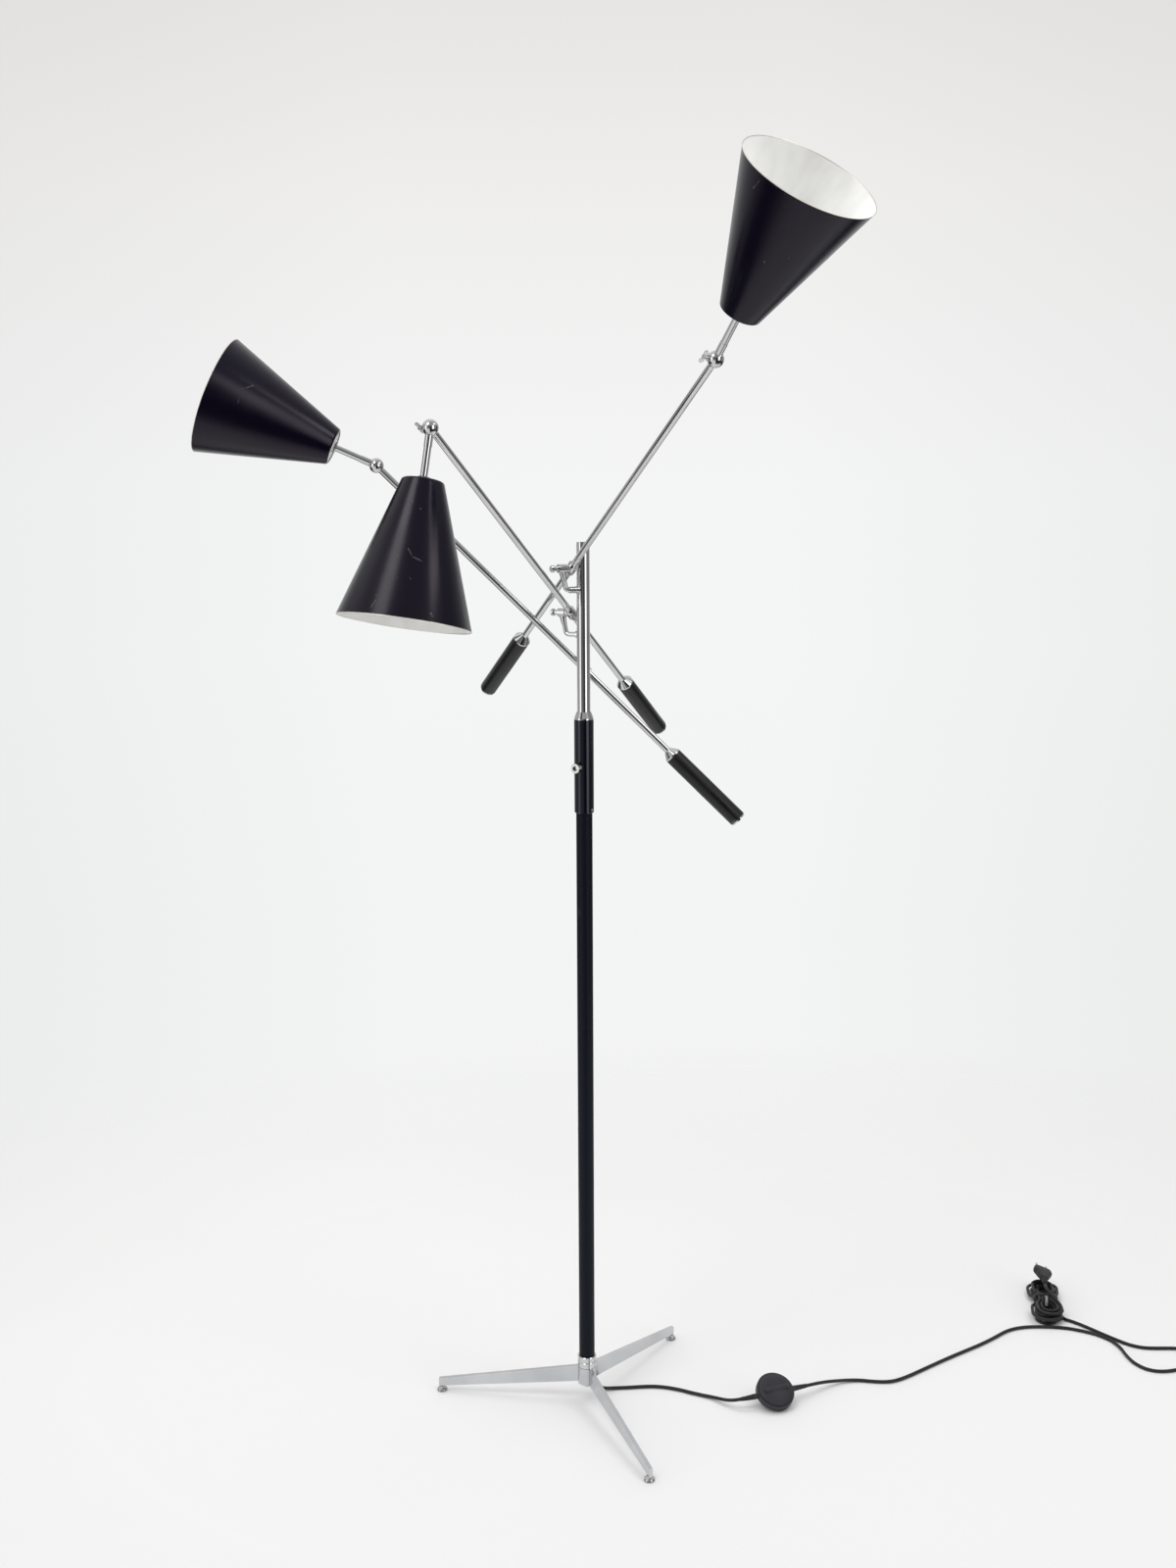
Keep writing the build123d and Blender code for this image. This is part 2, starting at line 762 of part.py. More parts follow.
def bend(start, end, heading):
    """Two equal arcs that shift a run sideways and leave it with the same heading."""
    middle = (start + end) * 0.5
    first = TangentArc(start, middle, tangent=heading)
    return [first, TangentArc(middle, end, tangent=first % 1)]


def hank_path():
    edges = []
    for run in range(hank_runs):
        side = 1 if run % 2 == 0 else -1
        heading = hank_along * side
        offset = hank_first_offset + hank_half_step * offset_pattern[run % 8]
        low = floor_height + hank_layer_height * (run // 4)
        high = low + hank_layer_height if run % 4 == 3 else low
        first = hank_point(-side * hank_lobe, side * offset, low)
        waist = hank_point(0, side * (offset - hank_draw_in), (low + high) / 2)
        last = hank_point(side * hank_lobe, side * offset, high)
        if run > 0:
            before = edges[-1] @ 1
            tip = (before + first) * 0.5 - heading * (first - before).length / 2
            edges.append(ThreePointArc(before, tip, first))
        if run == hank_runs - 1:
            plug_point = hank_point(hank_tail_along, 0, plug_height)
            edges += bend(first, plug_point, heading)
            edges.append(Line(plug_point, plug_point + heading * cord_diameter))
        elif run == 0:
            lead = bend(first, waist, heading)[1]
            slope = lead % 0
            edges.append(Line((lead @ 0) - slope * cord_diameter, lead @ 0))
            edges += [lead] + bend(waist, last, heading)
        else:
            edges += bend(first, waist, heading) + bend(waist, last, heading)
    return edges


def self_gap(edges):
    """The smallest free distance between stretches of the cord that aren't neighbours."""
    spots = []
    travelled = 0
    for edge in edges:
        count = max(2, round(edge.length / 3))
        spots += [(travelled + edge.length * i / count, edge @ (i / count)) for i in range(count)]
        travelled += edge.length
    gap = 1000
    for index, (place, spot) in enumerate(spots):
        for other_place, other in spots[index + 1:]:
            if other_place - place > 6 * cord_diameter:
                gap = min(gap, (other - spot).length - cord_diameter)
    return gap


tilted_half = plug_width / 2 * sin(radians(plug_roll)) + plug_thickness / 2 * cos(radians(plug_roll))
top_layer = floor_height + hank_layer_height * ((hank_runs - 1) // 4)
plug_height = top_layer + cord_radius + plug_rest_gap + tilted_half
hank_edges = hank_path()
hank_wire = Wire(hank_edges)
hank_start = hank_edges[0] @ 0
hank_heading = hank_edges[0] % 0
hank = sweep(Plane(hank_start, z_dir=hank_heading) * Circle(cord_radius), path=hank_wire)
hank_volume = pi * cord_radius ** 2 * hank_wire.length
print(f"hank length {hank_wire.length:.0f} volume ratio {hank.volume / hank_volume:.4f}")
print(f"hank gap to itself {self_gap(hank_edges):.2f}")
save(hank, "hank")


# Plug on the hank's last end
def make_plug():
    body_end = plug_relief_length + plug_body_length
    relief = turned_along_x([
        (0, 0),
        (plug_relief_tip_diameter / 2, 0),
        (plug_relief_base_diameter / 2, plug_relief_length),
        (0, plug_relief_length),
    ])
    sections = [
        (plug_relief_length, plug_back_width, plug_back_thickness),
        (plug_relief_length + plug_widest_at, plug_width, plug_thickness),
        (body_end, plug_face_width, plug_thickness),
    ]
    faces = []
    for distance, width, thickness in sections:
        place = Plane((distance, 0, 0), x_dir=(0, 1, 0), z_dir=(1, 0, 0))
        faces.append(place * RectangleRounded(width, thickness, plug_corner))
    plug = relief + loft(faces, ruled=True)
    for side in (1, -1):
        pin = rod(body_end, body_end + plug_pin_length, plug_pin_diameter)
        plug += Pos(0, side * plug_pin_spacing / 2, 0) * pin
    return plug


plug_end = hank_edges[-1] @ 1
plug_place = Pos(*plug_end) * Rot(0, 0, hank_azimuth) * Rot(plug_roll, 0, 0)
save(plug_place * make_plug(), "plug")


# Cord from the switch, out to the right, round and back to the hank
far_points = [
    switch_right,
    switch_right + switch_axis * entry_run,
    (388, 26.5, 12.5),
    (418, 44, 5),
    (450, 50, floor_height),
    (478, 44, floor_height),
    (506, 43.5, floor_height),
    (533, 58, floor_height),
    (571, 86, floor_height),
    (621, 122, floor_height),
    (680, 161, floor_height),
    (711, 185, floor_height),
    (741, 211, floor_height),
    (772, 222, floor_height),
    (808, 222.5, floor_height),
    (845, 218, floor_height),
    (872, 207, floor_height),
    (895, 193, floor_height),
    (913, 172, floor_height),
    (920, 148, floor_height),
    (921, 122, floor_height),
    (927, 96, floor_height),
    (943, 76, floor_height),
    (967, 71, floor_height),
    (995, 78, floor_height),
    (1026, 86, floor_height),
    (1050, 104, floor_height),
    (1047, 132, floor_height),
    (1020, 147, floor_height),
    (988, 147, floor_height),
    (958, 148, floor_height),
    (936, 160, floor_height),
    (918, 179, floor_height),
    (899, 200.5, floor_height),
    (882, 221, floor_height),
    (864, 240, floor_height),
    hank_start - hank_heading * entry_run,
    hank_start,
]
save(make_cord(far_points, "cord_far"), "cord_far")
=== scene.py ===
import bpy
import json
from math import cos, pi, radians, sin
from mathutils import Matrix, Vector


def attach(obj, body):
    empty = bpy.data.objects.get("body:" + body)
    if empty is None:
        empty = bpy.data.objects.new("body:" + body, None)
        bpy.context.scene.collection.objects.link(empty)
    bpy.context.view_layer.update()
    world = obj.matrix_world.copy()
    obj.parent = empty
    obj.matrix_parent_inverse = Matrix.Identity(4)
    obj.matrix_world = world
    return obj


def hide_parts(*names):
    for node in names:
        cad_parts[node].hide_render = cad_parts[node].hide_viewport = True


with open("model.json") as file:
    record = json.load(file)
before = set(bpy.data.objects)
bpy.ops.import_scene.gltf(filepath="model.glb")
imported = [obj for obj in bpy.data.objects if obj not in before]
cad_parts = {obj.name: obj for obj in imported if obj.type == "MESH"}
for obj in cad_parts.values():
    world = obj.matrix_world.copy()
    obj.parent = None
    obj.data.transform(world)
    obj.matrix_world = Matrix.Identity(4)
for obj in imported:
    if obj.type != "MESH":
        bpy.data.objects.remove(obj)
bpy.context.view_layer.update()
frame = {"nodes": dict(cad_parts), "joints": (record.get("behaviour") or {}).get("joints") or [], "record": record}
nodes = frame["nodes"]
joints = {joint["name"]: joint for joint in frame["joints"]}


# Legs and hub
# The hub is turned steel with three slots, and a tapered flat bar is brazed on edge into each.
# All four are plated together and have a satin shine with fine marks from polishing.
def new_finish(name, along_axis=False):
    """A material, its node tree, its shader and the piece's own coordinates."""
    finish = bpy.data.materials.new(name)
    finish.use_nodes = True
    tree = finish.node_tree
    if along_axis:
        own = tree.nodes.new("ShaderNodeAttribute")
        own.attribute_name = "along_axis"
        where = own.outputs["Vector"]
    else:
        where = tree.nodes.new("ShaderNodeTexCoord").outputs["Object"]
    return finish, tree, tree.nodes["Principled BSDF"], where


def grain(tree, where, scale, detail=3.0, stretch=(1.0, 1.0, 1.0)):
    """An uneven pattern, drawn out where stretch is small."""
    if stretch != (1.0, 1.0, 1.0):
        mapping = tree.nodes.new("ShaderNodeMapping")
        mapping.inputs["Scale"].default_value = stretch
        tree.links.new(where, mapping.inputs["Vector"])
        where = mapping.outputs["Vector"]
    noise = tree.nodes.new("ShaderNodeTexNoise")
    noise.inputs["Scale"].default_value = scale
    noise.inputs["Detail"].default_value = detail
    tree.links.new(where, noise.inputs["Vector"])
    return noise.outputs["Fac"]


def to_range(tree, value, start, end, low, high):
    """A pattern's values from start to end, turned into low to high."""
    node = tree.nodes.new("ShaderNodeMapRange")
    node.inputs["From Min"].default_value = start
    node.inputs["From Max"].default_value = end
    node.inputs["To Min"].default_value = low
    node.inputs["To Max"].default_value = high
    tree.links.new(value, node.inputs["Value"])
    return node.outputs["Result"]


def to_colour(tree, value, *stops):
    """A pattern's values turned into colours; each stop is (value, (r, g, b))."""
    ramp = tree.nodes.new("ShaderNodeValToRGB")
    while len(ramp.color_ramp.elements) < len(stops):
        ramp.color_ramp.elements.new(0.5)
    for element, (position, colour) in zip(ramp.color_ramp.elements, stops):
        element.position = position
        element.color = (*colour, 1.0)
    tree.links.new(value, ramp.inputs["Fac"])
    return ramp.outputs["Color"]


def roughen(tree, shader, value, height):
    """Press a pattern into the surface, to the given height in metres."""
    bump = tree.nodes.new("ShaderNodeBump")
    bump.inputs["Strength"].default_value = 0.6
    bump.inputs["Distance"].default_value = height
    tree.links.new(value, bump.inputs["Height"])
    tree.links.new(bump.outputs["Normal"], shader.inputs["Normal"])


def plated(name, dull, bright, smooth, rough, mark_scale):
    """Plated metal: cloudy brightness, and polishing marks that dull it here and there."""
    finish, tree, shader, where = new_finish(name)
    clouds = grain(tree, where, 14.0, 4.0)
    marks = grain(tree, where, mark_scale, 5.0)
    tree.links.new(to_colour(tree, clouds, (0.3, dull), (0.7, bright)), shader.inputs["Base Color"])
    tree.links.new(to_range(tree, marks, 0.35, 0.75, smooth, rough), shader.inputs["Roughness"])
    shader.inputs["Metallic"].default_value = 1.0
    roughen(tree, shader, marks, 0.000001)
    return finish


def dress(finish, *names):
    """Give a finish to pieces that keep the frame's own shape."""
    for name in names:
        nodes[name].data.materials.clear()
        nodes[name].data.materials.append(finish)


satin_plate = plated("satin_plate", dull=(0.53, 0.54, 0.555), bright=(0.64, 0.65, 0.665),
                     smooth=0.10, rough=0.19, mark_scale=420.0)
dress(satin_plate, "hub", "leg_left", "leg_front", "leg_rear")


# Hub collar and feet
# The collar is two polished rings that hold the post, and each foot is a turned screw with a domed
# pad. They are bright chrome, and the feet are dulled a little by the floor.
bright_chrome = plated("bright_chrome", dull=(0.58, 0.58, 0.59), bright=(0.70, 0.70, 0.70),
                       smooth=0.04, rough=0.10, mark_scale=300.0)
foot_chrome = plated("foot_chrome", dull=(0.48, 0.48, 0.48), bright=(0.62, 0.61, 0.60),
                     smooth=0.05, rough=0.15, mark_scale=260.0)
dress(bright_chrome, "hub_collar")
dress(foot_chrome, "foot_left", "foot_front", "foot_rear")


# Post, sleeve and set screw
# The post is steel tube sprayed satin black, and the sleeve is a thicker tube over its end, sprayed
# glossy black. A small plated set screw near the sleeve's lower edge holds it on the post.
def painted(name, deep, smooth, rough, shine):
    """Sprayed black paint: faint orange peel, hazy patches and a few light scuffs."""
    worn = (0.03, 0.03, 0.03)
    finish, tree, shader, where = new_finish(name)
    haze = grain(tree, where, 9.0, 4.0)
    scuffs = grain(tree, where, 55.0, 8.0, (1.0, 1.0, 0.35))
    peel = grain(tree, where, 900.0, 2.0)
    colour = to_colour(tree, scuffs, (0.0, deep), (0.70, deep), (0.80, worn))
    tree.links.new(colour, shader.inputs["Base Color"])
    tree.links.new(to_range(tree, haze, 0.3, 0.7, smooth, rough), shader.inputs["Roughness"])
    shader.inputs["Specular IOR Level"].default_value = shine
    shader.inputs["Specular Tint"].default_value = (0.86, 0.92, 1.0, 1.0)
    roughen(tree, shader, peel, 0.000006)
    return finish


post_black = painted("post_black", deep=(0.0016, 0.0030, 0.0072),
                     smooth=0.38, rough=0.50, shine=0.18)
sleeve_black = painted("sleeve_black", deep=(0.0010, 0.0022, 0.0062),
                       smooth=0.11, rough=0.17, shine=0.50)
screw_plate = plated("screw_plate", dull=(0.84, 0.84, 0.84), bright=(0.94, 0.94, 0.93),
                     smooth=0.22, rough=0.34, mark_scale=300.0)
dress(post_black, "lower_post")
dress(sleeve_black, "sleeve")
dress(screw_plate, "sleeve_set_screw")


# Sleeve screw, guide collar and upper tube
# The thumb screw has a hollow turned knob, the collar is a cone on the sleeve's end, and the tube
# that slides in them is drawn steel. All are chrome: the collar is bright, the knob is dulled by
# fingers, and the tube is rubbed by the collar.
knob_chrome = plated("knob_chrome", dull=(0.44, 0.44, 0.44), bright=(0.56, 0.56, 0.55),
                     smooth=0.08, rough=0.18, mark_scale=300.0)
tube_chrome = plated("tube_chrome", dull=(0.56, 0.56, 0.57), bright=(0.68, 0.68, 0.68),
                     smooth=0.04, rough=0.11, mark_scale=240.0)
dress(knob_chrome, "sleeve_screw")
dress(bright_chrome, "guide_collar")
dress(tube_chrome, "upper_tube")


# Brackets, arms, weight ends, knuckles and stems
# Each bracket is a bent bar brazed to the tube, with a boss for a thumb screw. The arm is a thin
# tube in a collar on that screw. The turned caps, half balls and stems are chromed like the rest.
for arm in "abc":
    dress(bright_chrome, f"bracket_{arm}", f"pivot_screw_{arm}", f"pivot_collar_{arm}")
    dress(tube_chrome, f"arm_tube_{arm}")
    dress(bright_chrome, f"weight_cap_{arm}", f"weight_end_{arm}", f"knuckle_{arm}")
    dress(bright_chrome, f"wing_screw_{arm}", f"stem_{arm}")


# Counterweights
# Each is a steel bar of 138 mm, painted black and screwed to the cap on the arm's end. The paint is
# rubbed thin round both ends, where the weight is gripped to move the arm.
weight_length = 0.138
weight_radius = 0.01325
weight_from_ball = 0.626


def lying_along(origin, direction):
    """A place whose X axis points in the given direction."""
    return Matrix.Translation(origin) @ direction.to_track_quat("X", "Z").to_matrix().to_4x4()


def ring_faces(rings, sides, closed=False):
    """Faces between rings of points that follow one another, with both ends closed if asked."""
    faces = []
    for ring in range(rings - 1):
        low = ring * sides
        high = low + sides
        for side in range(sides):
            after = (side + 1) % sides
            faces.append((low + side, low + after, high + after, high + side))
    if closed:
        faces.append(tuple(range(sides - 1, -1, -1)))
        faces.append(tuple(range((rings - 1) * sides, rings * sides)))
    return faces


def smooth_piece(name, points, faces, finishes, sharp, place=Matrix()):
    """A smooth piece, with sharp edges where its faces meet at more than the given degrees."""
    mesh = bpy.data.meshes.new(name)
    mesh.from_pydata(points, [], faces)
    mesh.transform(place)
    for finish in finishes:
        mesh.materials.append(finish)
    mesh.polygons.foreach_set("use_smooth", [True] * len(faces))
    mesh.set_sharp_from_angle(angle=radians(sharp))
    piece = bpy.data.objects.new(name, mesh)
    bpy.context.scene.collection.objects.link(piece)
    return piece


def turned(name, outline, place, finishes, sides=96):
    """A turned piece: rings at (distance along X, radius, finish of the band that follows)."""
    points = []
    for distance, radius, _ in outline:
        for side in range(sides):
            angle = 2 * pi * side / sides
            points.append((distance, radius * cos(angle), radius * sin(angle)))
    faces = ring_faces(len(outline), sides)
    piece = smooth_piece(name, points, faces, finishes, sharp=40, place=place)
    bands = [band for _, _, band in outline[:-1] for _ in range(sides)]
    piece.data.polygons.foreach_set("material_index", bands)
    own = piece.data.attributes.new("along_axis", "FLOAT_VECTOR", "POINT")
    own.data.foreach_set("vector", [number for point in points for number in point])
    return piece


def combine(tree, operation, *values):
    """One arithmetic step on patterns or plain numbers, point by point."""
    node = tree.nodes.new("ShaderNodeMath")
    node.operation = operation
    for socket, value in zip(node.inputs, values):
        if isinstance(value, float):
            socket.default_value = value
        else:
            tree.links.new(value, socket)
    return node.outputs["Value"]


def weight_finish():
    """Black paint that is rubbed grey in a band near each end."""
    finish, tree, shader, where = new_finish("weight_black", along_axis=True)
    length = tree.nodes.new("ShaderNodeSeparateXYZ")
    tree.links.new(where, length.inputs["Vector"])
    end_to_end = to_range(tree, length.outputs["X"], 0.0, weight_length, -1.0, 1.0)
    near_end = to_range(tree, combine(tree, "ABSOLUTE", end_to_end), 0.80, 1.0, 0.35, 1.0)
    rub = combine(tree, "MULTIPLY", near_end, grain(tree, where, 160.0, 8.0))
    colour = to_colour(tree, rub, (0.0, (0.004, 0.004, 0.005)), (0.52, (0.006, 0.006, 0.007)),
                       (0.64, (0.14, 0.135, 0.13)))
    tree.links.new(colour, shader.inputs["Base Color"])
    haze = grain(tree, where, 22.0, 5.0)
    tree.links.new(to_range(tree, haze, 0.3, 0.7, 0.26, 0.42), shader.inputs["Roughness"])
    shader.inputs["Specular IOR Level"].default_value = 0.40
    roughen(tree, shader, grain(tree, where, 1100.0, 2.0), 0.00002)
    return finish


weight_black = weight_finish()
rounded_edge = [(0.0, 0.01265), (0.00018, 0.01295), (0.0006, 0.01318), (0.0012, weight_radius)]
weight_outline = [
    (0.0, 0.0052, 0),
    *[(distance, radius, 0) for distance, radius in rounded_edge],
    (weight_length / 2, weight_radius, 0),
    *[(weight_length - distance, radius, 0) for distance, radius in reversed(rounded_edge)],
    (weight_length, 0.0026, 0),
]
for arm in "abc":
    ball = Vector(joints[f"shade_{arm}_tilt"]["pos_m"])
    pivot = Vector(joints[f"arm_{arm}_tilt"]["pos_m"])
    back = (pivot - ball).normalized()
    weight_place = lying_along(ball + back * weight_from_ball, back)
    weight = turned(f"weight_{arm}", weight_outline, weight_place, [weight_black])
    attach(weight, f"arm_{arm}")
    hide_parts(f"counterweight_{arm}")


# Shades
# Each shade is a cone spun from 1 mm aluminium, sprayed satin black outside and white inside. The
# paint is worn to bare metal along the cut edge. Handling has left scuffs and specks outside, and
# age has left faint streaks inside.
shade_start = 0.0686
shade_end = 0.2571
sheet = 0.0010


def dust(tree, where):
    """Small pale specks, about one in every 20 mm of the surface."""
    cells = tree.nodes.new("ShaderNodeTexVoronoi")
    cells.inputs["Scale"].default_value = 50.0
    tree.links.new(where, cells.inputs["Vector"])
    return to_range(tree, cells.outputs["Distance"], 0.025, 0.075, 0.8, 0.0)


def shade_outside_finish(name, scuffs):
    """Satin black with faint haze, chips at the cut edge, and scuffs of (start, end, reach)."""
    finish, tree, shader, where = new_finish(name, along_axis=True)
    handled = to_range(tree, grain(tree, where, 34.0, 9.0), 0.70, 0.86, 0.0, 0.6)
    wear = combine(tree, "MAXIMUM", dust(tree, where), handled)
    for start, end, reach in scuffs:
        steps = max(1, round((Vector(end) - Vector(start)).length / reach))
        for step in range(steps + 1):
            distance = tree.nodes.new("ShaderNodeVectorMath")
            distance.operation = "DISTANCE"
            tree.links.new(where, distance.inputs[0])
            distance.inputs[1].default_value = Vector(start).lerp(Vector(end), step / steps)
            scuff = to_range(tree, distance.outputs["Value"], reach * 0.2, reach, 1.0, 0.0)
            wear = combine(tree, "MAXIMUM", wear, scuff)
    length = tree.nodes.new("ShaderNodeSeparateXYZ")
    tree.links.new(where, length.inputs["Vector"])
    at_edge = to_range(tree, length.outputs["X"], shade_end - 0.0031, shade_end + 0.0004, 0.0, 0.60)
    wear = combine(tree, "MAXIMUM", wear, at_edge)
    fibres = to_range(tree, grain(tree, where, 260.0, 6.0, (1.0, 1.0, 0.5)), 0.3, 0.7, 0.4, 0.95)
    rubbed = combine(tree, "MULTIPLY", wear, fibres)
    colour = to_colour(tree, rubbed, (0.0, (0.0029, 0.0018, 0.0080)),
                       (0.44, (0.005, 0.0042, 0.009)), (0.66, (0.085, 0.085, 0.085)))
    tree.links.new(colour, shader.inputs["Base Color"])
    haze = grain(tree, where, 11.0, 5.0)
    tree.links.new(to_range(tree, haze, 0.3, 0.7, 0.19, 0.27), shader.inputs["Roughness"])
    shader.inputs["Specular IOR Level"].default_value = 0.29
    shader.inputs["Specular Tint"].default_value = (0.98, 0.91, 1.0, 1.0)
    roughen(tree, shader, grain(tree, where, 900.0, 2.0), 0.000006)
    return finish


def shade_inside_finish():
    """White paint, a little yellowed in faint streaks along the cone."""
    finish, tree, shader, where = new_finish("shade_white", along_axis=True)
    ageing = grain(tree, where, 26.0, 6.0, (0.25, 1.0, 1.0))
    colour = to_colour(tree, ageing, (0.30, (0.80, 0.795, 0.775)), (0.60, (0.93, 0.93, 0.915)))
    tree.links.new(colour, shader.inputs["Base Color"])
    tree.links.new(to_range(tree, ageing, 0.3, 0.7, 0.48, 0.62), shader.inputs["Roughness"])
    roughen(tree, shader, grain(tree, where, 700.0, 2.0), 0.000008)
    return finish


shade_scuffs = {
    "a": [((0.2345, -0.0815, -0.0052), (0.2470, -0.0849, -0.0121), 0.0016),
          ((0.1628, -0.0434, -0.0388), (0.1634, -0.0436, -0.0389), 0.0022),
          ((0.2571, -0.0840, -0.0290), (0.2571, -0.0800, -0.0370), 0.0040)],
    "b": [((0.1672, 0.0375, 0.0464), (0.1766, 0.0447, 0.0440), 0.0019),
          ((0.1766, 0.0447, 0.0440), (0.1809, 0.0539, 0.0348), 0.0022),
          ((0.2037, 0.0509, 0.0503), (0.2050, 0.0520, 0.0500), 0.0030),
          ((0.2483, 0.0233, 0.0829), (0.2394, 0.0256, 0.0792), 0.0030),
          ((0.2456, 0.0790, 0.0321), (0.2480, 0.0800, 0.0310), 0.0040),
          ((0.1120, 0.0308, 0.0281), (0.1124, 0.0309, 0.0282), 0.0024)],
    "c": [((0.2116, 0.0696, 0.0255), (0.2008, 0.0607, 0.0361), 0.0022),
          ((0.2109, 0.0727, 0.0136), (0.2091, 0.0732, 0.0053), 0.0016)],
}
shade_white = shade_inside_finish()
bare_edge = plated("bare_edge", dull=(0.78, 0.72, 0.60), bright=(0.92, 0.88, 0.78),
                   smooth=0.40, rough=0.60, mark_scale=500.0)
outside = 0
inside = 1
cut_edge = 2
shade_outline = [
    (shade_start + sheet, 0.0230, outside),
    (shade_start + 0.0001, 0.0230, outside),
    (shade_start, 0.0232, outside),
    (shade_start, 0.0245, outside),
    (shade_start + 0.00025, 0.02585, outside),
    (shade_start + 0.00085, 0.02700, outside),
    (shade_start + 0.0018, 0.02795, outside),
    (shade_start + 0.0030, 0.02848, outside),
    (shade_start + 0.0660, 0.04903, outside),
    (shade_start + 0.1290, 0.06959, outside),
    (shade_end - 0.0009, 0.08873, cut_edge),
    (shade_end - 0.0002, 0.08890, cut_edge),
    (shade_end, 0.08855, cut_edge),
    (shade_end - 0.0002, 0.08812, cut_edge),
    (shade_end - 0.0009, 0.08775, inside),
    (shade_start + 0.1290, 0.06854, inside),
    (shade_start + 0.0660, 0.04798, inside),
    (shade_start + 0.0034, 0.02755, inside),
    (shade_start + 0.0012, 0.02560, inside),
    (shade_start + sheet, 0.02490, inside),
    (shade_start + sheet, 0.0230, inside),
]
mounts = {mount["name"]: mount for mount in frame["record"]["mounts"]}
shade_places = {}
for arm in "abc":
    ball = Vector(joints[f"shade_{arm}_tilt"]["pos_m"])
    shade_places[arm] = lying_along(ball, Vector(mounts[f"lamp_socket_{arm}"]["axis"]))
    shade_black = shade_outside_finish(f"shade_black_{arm}", shade_scuffs[arm])
    cone = turned(f"cone_{arm}", shade_outline, shade_places[arm],
                  [shade_black, shade_white, bare_edge], sides=160)
    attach(cone, f"shade_{arm}")
    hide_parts(f"shade_{arm}")


# Shade discs and lamp holders
# A pale grey plate closes each shade's small end, and a black moulded holder is screwed to the stem
# behind it. A thread rolled in thin brass lines the holder, with a spring contact at its foot.
def moulded(name, deep, pale, smooth, rough, grain_scale, depth):
    """Moulded plastic or rubber with a fine even grain."""
    finish, tree, shader, where = new_finish(name)
    bloom = grain(tree, where, 30.0, 5.0)
    texture = grain(tree, where, grain_scale, 3.0)
    tree.links.new(to_colour(tree, bloom, (0.3, deep), (0.7, pale)), shader.inputs["Base Color"])
    tree.links.new(to_range(tree, texture, 0.3, 0.7, smooth, rough), shader.inputs["Roughness"])
    shader.inputs["Specular IOR Level"].default_value = 0.35
    roughen(tree, shader, texture, depth)
    return finish


disc_grey = moulded("disc_grey", deep=(0.72, 0.72, 0.72), pale=(0.82, 0.82, 0.81),
                    smooth=0.40, rough=0.55, grain_scale=600.0, depth=0.00003)
holder_black = moulded("holder_black", deep=(0.012, 0.012, 0.012), pale=(0.022, 0.021, 0.020),
                       smooth=0.28, rough=0.42, grain_scale=700.0, depth=0.00003)
brass = plated("brass", dull=(0.58, 0.44, 0.20), bright=(0.72, 0.56, 0.28),
               smooth=0.20, rough=0.36, mark_scale=300.0)
disc_thickness = 0.0016
holder_length = 0.0500
holder_mouth = shade_start + sheet + disc_thickness + holder_length
thread_start = holder_mouth - 0.0030
thread_length = 0.0220
thread_radius = 0.01270
thread_rise = 0.00040
thread_turns = 6
steps_per_turn = 8
thread_steps = thread_turns * steps_per_turn
thread_outline = []
for step in range(thread_steps + 1):
    ridge = thread_rise * cos(2 * pi * step / steps_per_turn)
    along = thread_length * step / thread_steps
    thread_outline.append((thread_start - along, thread_radius + ridge, 0))
contact_outline = [
    (holder_mouth - 0.0298, 0.0062, 0),
    (holder_mouth - 0.0282, 0.0060, 0),
    (holder_mouth - 0.0270, 0.0048, 0),
    (holder_mouth - 0.0264, 0.0024, 0),
    (holder_mouth - 0.0262, 0.0001, 0),
]
for arm in "abc":
    dress(disc_grey, f"shade_disc_{arm}")
    dress(holder_black, f"lamp_holder_{arm}")
    thread = turned(f"brass_thread_{arm}", thread_outline, shade_places[arm], [brass], sides=64)
    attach(thread, f"shade_{arm}")
    contact = turned(f"contact_{arm}", contact_outline, shade_places[arm], [brass], sides=32)
    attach(contact, f"shade_{arm}")


# Gland and foot switch
# The gland is a rubber bush pressed into the hub. The switch is a round two-part moulding in dull
# charcoal plastic, with a domed button that carries a ridge.
rubber_black = moulded("rubber_black", deep=(0.014, 0.014, 0.014), pale=(0.026, 0.026, 0.026),
                       smooth=0.50, rough=0.66, grain_scale=900.0, depth=0.00004)
switch_charcoal = moulded("switch_charcoal", deep=(0.023, 0.021, 0.026), pale=(0.033, 0.031, 0.037),
                          smooth=0.40, rough=0.54, grain_scale=1200.0, depth=0.00005)
dress(rubber_black, "cord_gland")
dress(switch_charcoal, "switch_base", "switch_button")


# Cords
# Round mains lead of 5.5 mm in a black sheath. The first length goes from the gland to the switch,
# and the second from the switch across the floor and into the tied hank, to the plug.
cord_diameter = 0.0055
on_floor = 0.0028
switch_middle = Vector((0.3039, -0.0165, 0.02006))
switch_bearing = radians(20)
switch_axis = Vector((cos(switch_bearing), sin(switch_bearing), 0.0))
switch_reach = 0.037
entry_run = 0.019


def cord_line(name, points):
    """A smooth line through the cord's route, with no thickness yet."""
    curve = bpy.data.curves.new(name, "CURVE")
    curve.dimensions = "3D"
    line = curve.splines.new("NURBS")
    line.points.add(len(points) - 1)
    for knot, point in zip(line.points, points):
        knot.co = (*point, 1.0)
    line.order_u = 3
    line.use_endpoint_u = True
    line.resolution_u = 10
    piece = bpy.data.objects.new(name, curve)
    bpy.context.scene.collection.objects.link(piece)
    return piece


def spots_on(piece):
    """The points of a line, in order, while it has no thickness."""
    bpy.context.view_layer.update()
    mesh = bpy.data.meshes.new_from_object(piece)
    spots = [vertex.co.copy() for vertex in mesh.vertices]
    bpy.data.meshes.remove(mesh)
    return spots


